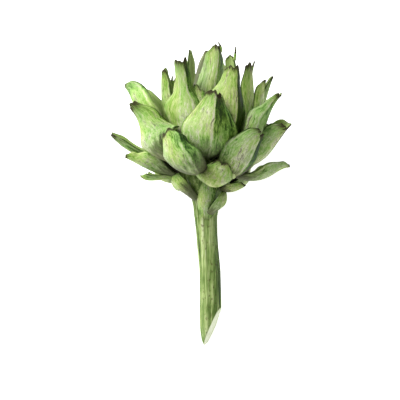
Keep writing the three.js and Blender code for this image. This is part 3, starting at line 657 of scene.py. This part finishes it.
def middle_line(own, v):
    """Points of the bract's middle line, and the azimuth that it has there, in radians."""
    row = ROWS.get(own["row"], HEART_ROW)
    under = min(1.0, max(0.0, -2 * math.cos(math.radians(own["azimuth"]))))
    pushes = ((0, 0),) + row["under"]
    corners = []
    for key, push in zip(("root", "belly", "neck", "tip"), pushes):
        shift = own.get(key, (0, 0))
        corners.append([row[key][0] + shift[0] - under * push[0], row[key][1] + shift[1] + under * push[1]])
    a, b, c, d = np.array(corners, float)
    v = np.asarray(v, float)[:, None]
    r, z = ((1 - v) ** 3 * a + 3 * (1 - v) ** 2 * v * b + 3 * (1 - v) * v ** 2 * c + v ** 3 * d).T
    turn = np.radians(own["azimuth"] + own.get("swing", 0) * v[:, 0] ** 1.5)
    return np.stack([r * np.sin(turn), -r * np.cos(turn), z], axis=1), turn


def bend(own, s, v):
    """Where the points of a flat blank go: s from -1 to 1 across, v from 0 to 1 along, alike in one row."""
    row = ROWS.get(own["row"], HEART_ROW)
    places, order = np.unique(v, return_inverse=True)
    middle, turn = middle_line(own, places)
    before = middle_line(own, np.maximum(places - 0.01, 0))[0]
    after = middle_line(own, np.minimum(places + 0.01, 1))[0]
    along = after - before
    along /= np.linalg.norm(along, axis=1)[:, None]
    radial = np.stack([np.sin(turn), -np.cos(turn), 0 * turn], axis=1)
    outward = radial * along[:, 2:] - np.array([0, 0, 1.0]) * (along * radial).sum(1)[:, None]
    side = np.cross(along, outward)
    side /= np.linalg.norm(side, axis=1)[:, None]
    outward = np.cross(side, along)
    twist = np.radians(own.get("twist", 0)) * places[:, None]
    outward, side = (outward * np.cos(twist) + side * np.sin(twist),
                     side * np.cos(twist) - outward * np.sin(twist))
    wide, necks = own.get("wide", 1), own.get("necks", 1)
    half = along_bract(places, row["half"][0] * wide * ROOT_SHARE, row["half"][0] * wide,
                       row["half"][1] * wide * necks, row["half"][2] * wide * necks,
                       own.get("belly_at", BELLY_AT), own.get("neck_at", NECK_AT))
    cup = along_bract(places, ROOT_CUP, *(angle * own.get("cups", 1) for angle in row["cup"]))
    crease = own.get("crease", 0)
    bendy = SECTION
    if crease:
        corner = 2 / (1 + np.exp(-(SECTION - crease) / CREASE_WIDTH)) - 1
        bendy = (1 - CREASE_SHARE) * SECTION + CREASE_SHARE * corner
    fold = own.get("fold", 0) * np.exp(-((SECTION - crease - FOLD_BESIDE) / FOLD_WIDTH) ** 2)
    tip_half = row["half"][2] * wide * necks
    rng = np.random.default_rng(sum(ord(letter) * place for place, letter in enumerate(own["name"])))
    notch_at, notch_depth = rng.uniform(-0.25, 0.25), own.get("notch", rng.uniform(0.3, 0.75))
    waves, lean = rng.uniform(0, 6.28, 4), own.get("lean", rng.uniform(-0.25, 0.25))
    out = np.zeros((len(s), 3))
    for i in range(len(places)):
        pick = order == i
        angle = cup[i] * bendy + fold * smooth(0.15, 0.45, places[i])
        reach = half[i] * cup[i] / math.sin(min(cup[i], math.pi / 2)) * (SECTION[1] - SECTION[0])
        mean = (angle[1:] + angle[:-1]) / 2
        x = np.concatenate([[0], np.cumsum(np.cos(mean))]) * reach
        y = np.concatenate([[0], np.cumsum(-np.sin(mean))]) * reach
        x -= np.interp(0, SECTION, x)
        y -= np.interp(0, SECTION, y)
        here = s[pick]
        notch = notch_depth * np.exp(-((here - notch_at) / NOTCH_WIDTH) ** 2)
        shorten = lean * here - TIP_ROUNDING * np.abs(here) ** 4 - notch
        ragged = min(0.2 * tip_half, RAGGED_MM) * np.sin(8 * here + waves[3])
        shorten = (shorten * tip_half + ragged) * smooth(0.75, 1, places[i])
        swell = BELLY_WAVE_MM * np.sin(3.1 * here + waves[0]) * math.sin(5 * places[i] + waves[1])
        edge_turn = 9 * places[i] + waves[2] + 3 * np.sign(here)
        swell = swell + EDGE_WAVE_MM * np.abs(here) ** 3 * np.sin(edge_turn)
        swell = swell * smooth(0.1, 0.35, places[i]) * min(1, row["half"][0] * wide / WAVY_HALF_MM)
        out[pick] = (middle[i] + np.outer(np.interp(here, SECTION, x), side[i])
                     + np.outer(np.interp(here, SECTION, y) + swell, outward[i])
                     + np.outer(shorten, along[i]))
    return out


sample = bend(bracts[0], np.array([-1.0, 0, 1]), np.array([0.5, 0.5, 0.5]))
print("half way up", bracts[0]["name"], "is", np.linalg.norm(sample[0] - sample[2]).round(1), "mm across")

# %% [markdown]
# ## The blank
#
# All bracts start from one flat blank: a grid with its root at one end and its tip at the other. It carries a
# vertex group that makes it thick along the middle and thin at the edges and tip, which the Solidify modifier
# reads. It is made once. Every bract is a copy with a mesh of its own.

# %% Blank
BLANK_ACROSS, BLANK_ALONG = 18, 30
THICKNESS_MM = (2.8, 2.5, 1.9, 1.2)
THINNER_AT_EDGE = 0.45


def add_blank():
    deselect_all()
    bpy.ops.mesh.primitive_grid_add(x_subdivisions=BLANK_ACROSS, y_subdivisions=BLANK_ALONG, size=2,
                                    calc_uvs=True)
    made = bpy.context.object
    made.name = "blank"
    s, y, _ = read_points(made.data).T
    v = (y + 1) / 2
    thick = along_bract(v, *THICKNESS_MM) / THICKNESS_MM[0] * (1 - THINNER_AT_EDGE * s ** 2)
    group = made.vertex_groups.new(name="thick")
    for i, weight in enumerate(thick):
        group.add([i], float(weight), "REPLACE")
    return made, s, v


blank, blank_s, blank_v = add_blank()
print("blank:", len(blank.data.polygons), "faces")

# %% [markdown]
# Where the leaves crowd together, painted shade darkens them. Rays sent outwards from each point of each bent
# blank tell how much of its view is closed by leaves close by. The heart is a bud of eight small leaves, so
# they are bent here too.

# %% How crowded each point is
CROWD_REACH = 15.0
RAYS = 6
RAY_OUT, RAY_SIDEWAYS = 0.55, 0.83
RAY_START = 1.6


def crowding(bends):
    """For each leaf's points, how much of the view outwards is closed, from 0 to 1."""
    corners, polygons = [], []
    for points in bends.values():
        polygons += [[len(corners) + i for i in face.vertices] for face in blank.data.polygons]
        corners += [Vector(point) for point in points]
    tree = BVHTree.FromPolygons(corners, polygons)
    order = np.lexsort((blank_s, blank_v))
    across = len(np.unique(blank_s))
    found = {}
    for name, points in bends.items():
        grid = points[order].reshape(-1, across, 3)
        sideways, onwards = np.gradient(grid, axis=1), np.gradient(grid, axis=0)
        sideways /= np.linalg.norm(sideways, axis=2, keepdims=True)
        normal = np.cross(sideways, onwards)
        normal /= np.linalg.norm(normal, axis=2, keepdims=True) + 1e-9
        onwards = np.cross(normal, sideways)
        closed = np.zeros(grid.shape[:2])
        for turn in np.arange(RAYS) * 2 * math.pi / RAYS:
            around = sideways * math.cos(turn) + onwards * math.sin(turn)
            ray = normal * RAY_OUT + around * RAY_SIDEWAYS
            for place in np.ndindex(closed.shape):
                start = Vector(grid[place] + normal[place] * RAY_START)
                distance = tree.ray_cast(start, Vector(ray[place]), CROWD_REACH)[3]
                if distance is not None:
                    closed[place] += (1 - distance / CROWD_REACH) / RAYS
        found[name] = np.empty(len(points))
        found[name][order] = closed.ravel()
    return found


BUD_LEAVES = 8
GOLDEN_ANGLE = 137.5
bud = [dict(name=f"heart_{n}", row="heart", azimuth=n * GOLDEN_ANGLE, tip=(0, -1.5 * n), wide=1.25)
       for n in range(BUD_LEAVES)]
bends = {own["name"]: bend(own, blank_s, blank_v) for own in bracts + bud}
crowd = crowding(bends)
print("mean crowding:", round(float(np.mean([c.mean() for c in crowd.values()])), 2))

# %% [markdown]
# Each copy is bent, thickened with Solidify and rounded with Subdivision Surface. Both modifiers are applied,
# then the finished leaf is laid on the table. The inner wall gets the lining as its second material.

# %% Making a bract
SCARS = {
    "bract_wide_left": (0.4, 0.58, 1.0),
    "bract_wide_right": (-0.5, 0.51, 0.6),
    "bract_middle_left": (0.25, 0.45, 1.0),
    "bract_middle_front": (-0.2, 0.44, 0.9),
}
NO_SCAR = (0, -9, 0)


def name_attribute(mesh, name, *columns):
    """Stores three numbers for each vertex. A column is one number for all or one for each."""
    values = np.empty((len(mesh.vertices), 3), np.float32)
    for k, column in enumerate(columns):
        values[:, k] = column
    attribute = mesh.attributes.new(name, "FLOAT_VECTOR", "POINT")
    attribute.data.foreach_set("vector", values.ravel())


def pattern_leaf(mesh, own, seed):
    """The attributes that bract_skin reads."""
    rng = np.random.default_rng(seed)
    # painted shade: from crowding leaves, beside a crease low down and on the right half of the leaf
    crowd_shade = crowd[own["name"]] * own.get("shade", 1)
    right_shade = min(1.0, 1 + math.sin(math.radians(own["azimuth"])))
    name_attribute(mesh, "crowd", crowd_shade, own.get("deep", 0), right_shade)
    name_attribute(mesh, "age", own.get("dry", 0), 0, 0)
    name_attribute(mesh, "leaf", blank_s, blank_v, rng.random() * 10)
    scar_s, scar_v, strength = SCARS.get(own["name"], NO_SCAR)
    steps = np.diff(middle_line(own, np.linspace(0, 1, 20))[0], axis=0)
    length = np.linalg.norm(steps, axis=1).sum()
    half = ROWS.get(own["row"], HEART_ROW)["half"][0] * own.get("wide", 1)
    name_attribute(mesh, "mark", (blank_s - scar_s) * half, (blank_v - scar_v) * length, strength)
    # how strong the painted shade in the valley and the painted highlight on the crest are
    folded = min(1.0, own.get("fold", 0) * 1.6 + own.get("deep", 0) * 1.5)
    stain = own.get("stain", rng.uniform(-0.06, 0.12))
    name_attribute(mesh, "fold", blank_s - own.get("crease", 0), folded, stain)


def make_bract(own, seed):
    deselect_all()
    leaf = blank.copy()
    leaf.data = blank.data.copy()
    leaf.name = own["name"] + "_leaf"
    bpy.context.scene.collection.objects.link(leaf)
    pattern_leaf(leaf.data, own, seed)
    write_points(leaf.data, bends[own["name"]] / 1000)
    leaf.data.materials.append(bract_outside)
    leaf.data.materials.append(bract_inside)
    leaf.select_set(True)
    bpy.context.view_layer.objects.active = leaf
    wall = leaf.modifiers.new("wall", "SOLIDIFY")
    wall.thickness = THICKNESS_MM[0] / 1000
    wall.offset = 0
    wall.vertex_group = "thick"
    wall.material_offset = 1
    wall.material_offset_rim = 0
    bpy.ops.object.modifier_apply(modifier="wall")
    rounding = leaf.modifiers.new("rounding", "SUBSURF")
    rounding.levels = rounding.render_levels = 1
    bpy.ops.object.modifier_apply(modifier="rounding")
    bpy.ops.object.shade_smooth()
    write_points(leaf.data, lie(read_points(leaf.data) * 1000))
    return leaf


print("scars on:", ", ".join(SCARS))

# %% [markdown]
# Three tips end in an awn, a thin dry spike. It is a cone that is subdivided, bent along a curve of its own
# and joined to its leaf. Its root sits a little below the leaf's tip, so that it grows out of it.

# %% Awns
AWNS = {
    "bract_crown_front": (0.7, (1, 0.5, 4), (-1.6, 0.5, 6.6)),
    "bract_crown_back_right": (-0.7, (0.8, 0, 4.5), (1, 0, 9.2)),
    "bract_high_right": (0.3, (1, 0, 4.5), (2.4, 0, 8)),
}
AWN_FROM = 0.94
AWN_RADII = (1.15, 0.45)


def add_awn(leaf, own, across, middle, end):
    """Grows an awn from a place across the leaf. middle and end are seen from its root, in mm."""
    deselect_all()
    bpy.ops.mesh.primitive_cone_add(vertices=10, radius1=AWN_RADII[0], radius2=AWN_RADII[1], depth=1,
                                    location=(0, 0, 0.5))
    awn = bpy.context.object
    bpy.ops.object.transform_apply(location=True)
    bpy.ops.object.mode_set(mode="EDIT")
    bpy.ops.mesh.subdivide(number_cuts=5)
    bpy.ops.object.mode_set(mode="OBJECT")
    bpy.ops.object.shade_smooth()
    x, y, t = read_points(awn.data).T
    name_attribute(awn.data, "leaf", 0.5, 0.93 + 0.07 * t, 4)
    name_attribute(awn.data, "fold", 0, 0, -1)
    for name in ("mark", "crowd", "age"):
        name_attribute(awn.data, name, 0, 0, 0)
    start = bend(own, np.array([across]), np.array([AWN_FROM]))[0]
    t = t[:, None]
    line = (1 - t) ** 2 * start + 2 * t * (1 - t) * (start + middle) + t ** 2 * (start + end)
    write_points(awn.data, lie(line + np.stack([x, y, 0 * x], axis=1)))
    awn.data.materials.append(bract_outside)
    leaf.select_set(True)
    bpy.context.view_layer.objects.active = leaf
    bpy.ops.object.join()


print("awns on:", ", ".join(AWNS))

# %% [markdown]
# Now every bract is made and takes the place of its solid.

# %% Making every bract
FIRST_LEAF_SEED = 100
leaves = []
for number, own in enumerate(bracts):
    leaf = make_bract(own, FIRST_LEAF_SEED + number)
    if own["name"] in AWNS:
        add_awn(leaf, own, *AWNS[own["name"]])
    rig.ride(leaf, "root")
    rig.replaces(leaf, own["name"])
    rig.slot(leaf, "bract")
    leaves.append(leaf)
print("leaves:", len(leaves), "with", sum(len(leaf.data.polygons) for leaf in leaves), "faces")

# %% [markdown]
# ## The stem
#
# The stem is a ribbed rod that swells into the dome under the leaves. Its skin is streaked along its length,
# speckled and greener under the head, with painted shade on its right side and along its left edge. The cut
# shows pale pith with a green rind. Both skins read `grain`, the upright place of each vertex in millimetres.

# %% Stem skin and cut face
def stem_skin():
    skin = Skin("stem_skin", roughness=0.55)
    x, y, z = skin.attribute("grain")
    long_grain = skin.noise(skin.point(x * 0.42, y * 0.42, z * 0.016), 1.0, 4, 0.65)
    fine_grain = skin.noise(skin.point(x * 1.5, y * 1.5, z * 0.06), 1.0, 3, 0.6)
    patch = skin.noise(skin.point(x * 0.16, y * 0.16, z * 0.06), 1.0, 3, 0.6)
    # painted shade: darker on the right side and along the left edge, so the middle looks lit
    shaded_right_side = (x - 3.0).ramp(-0.5, 5.5)
    shaded_left_edge = (x + 4.0).ramp(-2.0, 2.5, 1.0, 0.0)
    grain = (long_grain - 0.5) * 2.1 + (fine_grain - 0.5) * 1.0 + (patch - 0.5) * 0.9
    tone = 0.57 + grain - shaded_right_side * 0.32 - shaded_left_edge * 0.12
    colour = skin.colours(tone, [
        (0.0, paint(44, 66, 24)), (0.25, paint(84, 110, 48)), (0.5, paint(130, 154, 84)),
        (0.75, paint(176, 192, 128)), (1.0, paint(212, 220, 176))])
    speckle = skin.noise(skin.point(x * 0.8, y * 0.8, z * 0.4), 1.0, 2, 0.5)
    dots = speckle.ramp(0.6, 0.66) * patch.ramp(0.4, 0.55)
    colour = skin.mix(dots * 0.65, colour, paint(88, 78, 42))
    colour = skin.mix(z.ramp(-30, -12) * 0.45, colour, paint(84, 106, 44))
    low_end = (z + (long_grain - 0.5) * 20).ramp(-104, -86, 1.0, 0.0)
    colour = skin.mix(low_end * 0.35, colour, paint(92, 132, 74))
    return skin.finish(colour, long_grain * 1.3 + fine_grain * 0.4 - dots * 0.4, 0.0007)


def cut_skin():
    skin = Skin("cut_face", roughness=0.6)
    x, y, z = skin.attribute("grain")
    streak = skin.noise(skin.point(x * 1.2, y * 1.2, z * 0.12), 1.0, 3, 0.6)
    centre = skin.point(x - 3.8, y, 0)
    far = skin.node("ShaderNodeVectorMath", {"operation": "LENGTH"}, {0: centre}, "Value")
    colour = skin.colours(streak, [
        (0.3, paint(204, 214, 172)), (0.5, paint(226, 233, 202)), (0.7, paint(238, 242, 222))])
    colour = skin.mix((far + streak * 1.5).ramp(5.6, 7.0) * 0.8, colour, paint(166, 184, 124))
    return skin.finish(colour, streak, 0.0002)


stem_outside, stem_cut = stem_skin(), cut_skin()
print("stem skin nodes:", len(stem_outside.node_tree.nodes))

# %% [markdown]
# The rod is drawn up from a circle, ring by ring, as one extrusion. Then each ring is widened to the stem's
# outline, ribbed and moved to its curved middle line. A bisect makes the knife's slanted cut and fills it
# with one clean face. All sizes are upright millimetres.

# %% Stem shape
STEM_LINE = [(-104, 4), (-96, 3.2), (-86, 2.8), (-75, 2.9), (-55, 2.5), (-40, 1), (-20, -0.3), (-13, 0),
             (26, 0)]
STEM_OUTLINE = [(-108.3, 1), (-104.3, 5), (-101.5, 6.3), (-93, 6.8), (-80, 6.8), (-68, 6.7), (-56, 6.6),
                (-44, 6.6), (-32, 6.6), (-22, 7), (-14, 8), (-7, 9.6), (-1, 13), (5, 16.2), (11, 17.6),
                (17, 16.2), (22, 11.5), (25, 3)]
STEM_RINGS = np.concatenate([np.linspace(-108.3, -22, 44), np.linspace(-20, 25, 24)])
STEM_SIDES = 72
CUT_POINT, CUT_FACING = (-1.3, 0, -104.3), Vector((0.87, -0.29, -0.4)).normalized()
CUT_MATCH = 0.98


def shape_stem(points):
    """Moves the points of a straight rod of radius 1 to the stem's surface."""
    x, y, z = points.T
    turn = np.arctan2(y, x)
    ribs = (1 + 0.035 * np.cos(6 * turn) + 0.018 * np.cos(13 * turn + z * 0.01)
            + 0.01 * np.cos(21 * turn - z * 0.02))
    radius = np.interp(z, *zip(*STEM_OUTLINE))
    middle = np.interp(z, *zip(*STEM_LINE))
    return np.stack([middle + radius * ribs * np.cos(turn), radius * ribs * np.sin(turn), z], axis=1)


def make_stem():
    deselect_all()
    bpy.ops.mesh.primitive_circle_add(vertices=STEM_SIDES, radius=1, fill_type="NGON",
                                      location=(0, 0, STEM_RINGS[0]))
    stem = bpy.context.object
    stem.name = "stem_skin"
    bpy.ops.object.transform_apply(location=True)
    bpy.ops.object.mode_set(mode="EDIT")
    for step in np.diff(STEM_RINGS):
        bpy.ops.mesh.extrude_region_move(TRANSFORM_OT_translate={"value": (0, 0, float(step))})
    bpy.ops.mesh.select_all(action="SELECT")
    bpy.ops.mesh.normals_make_consistent(inside=False)
    bpy.ops.object.mode_set(mode="OBJECT")
    write_points(stem.data, shape_stem(read_points(stem.data)))
    stem.data.materials.append(stem_outside)
    stem.data.materials.append(stem_cut)
    bpy.ops.object.mode_set(mode="EDIT")
    bpy.ops.mesh.select_all(action="SELECT")
    bpy.ops.mesh.bisect(plane_co=CUT_POINT, plane_no=CUT_FACING, use_fill=True, clear_outer=True)
    bpy.ops.object.mode_set(mode="OBJECT")
    return stem


stem = make_stem()
for face in stem.data.polygons:
    face.use_smooth = True
    if face.normal.dot(CUT_FACING) > CUT_MATCH and len(face.vertices) > 4:
        face.material_index = 1
        face.use_smooth = False
cut_faces = sum(face.material_index for face in stem.data.polygons)
print("stem:", len(stem.data.polygons), "faces, cut faces:", cut_faces)

# %% [markdown]
# The stem keeps the upright place of each vertex as its grain before it is laid down.

# %% Lay the stem down
upright = read_points(stem.data)
name_attribute(stem.data, "grain", *upright.T)
write_points(stem.data, lie(upright))
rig.ride(stem, "root")
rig.replaces(stem, "stem")
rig.slot(stem, "stem")
print("stem lies from", stem.bound_box[0][1], "to", stem.bound_box[6][1], "m")

# %% [markdown]
# ## The heart
#
# Between the crown leaves the head is closed by its tight inner bud. Eight small leaves wrapped round each
# other make it, from the same blank, and are joined into one object. The blank has then done its work.

# %% Heart
FIRST_BUD_SEED = 400
heart_leaves = [make_bract(own, FIRST_BUD_SEED + n) for n, own in enumerate(bud)]
for leaf in heart_leaves:
    leaf.select_set(True)
bpy.context.view_layer.objects.active = heart_leaves[0]
bpy.ops.object.join()
heart = bpy.context.object
heart.name = "heart_bud"
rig.ride(heart, "root")
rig.replaces(heart, "heart")
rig.slot(heart, "heart")
bpy.data.objects.remove(blank)
print("heart:", len(heart.data.polygons), "faces")

# %% [markdown]
# ## The table top
#
# The floor glows a little, so that it stays white round the plant and still takes its soft shadow.

# %% Floor finish
GLOW = 0.75
table = Skin("table_white", roughness=0.9)
cloud = table.noise(table.node("ShaderNodeTexCoord", output="Object"), 6, 2, 0.5)
table.surface.inputs["Emission Color"].default_value = (1, 1, 1, 1)
table.surface.inputs["Emission Strength"].default_value = GLOW
white = table.colours(cloud, [(0.3, paint(250, 250, 250)), (0.7, paint(253, 253, 253))])
floor.data.materials.append(table.finish(white))
print("floor material:", floor.data.materials[0].name)

# %% [markdown]
# ## Sizes
#
# Last, the box of the CAD solids and the box of the finished plant are written side by side.

# %% Sizes and finish
json.dump({"cad": [list(map(float, corner)) for corner in cad_box],
           "visual": [list(map(float, corner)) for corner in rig.bounds()]}, open("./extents.json", "w"))
print(open("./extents.json").read())
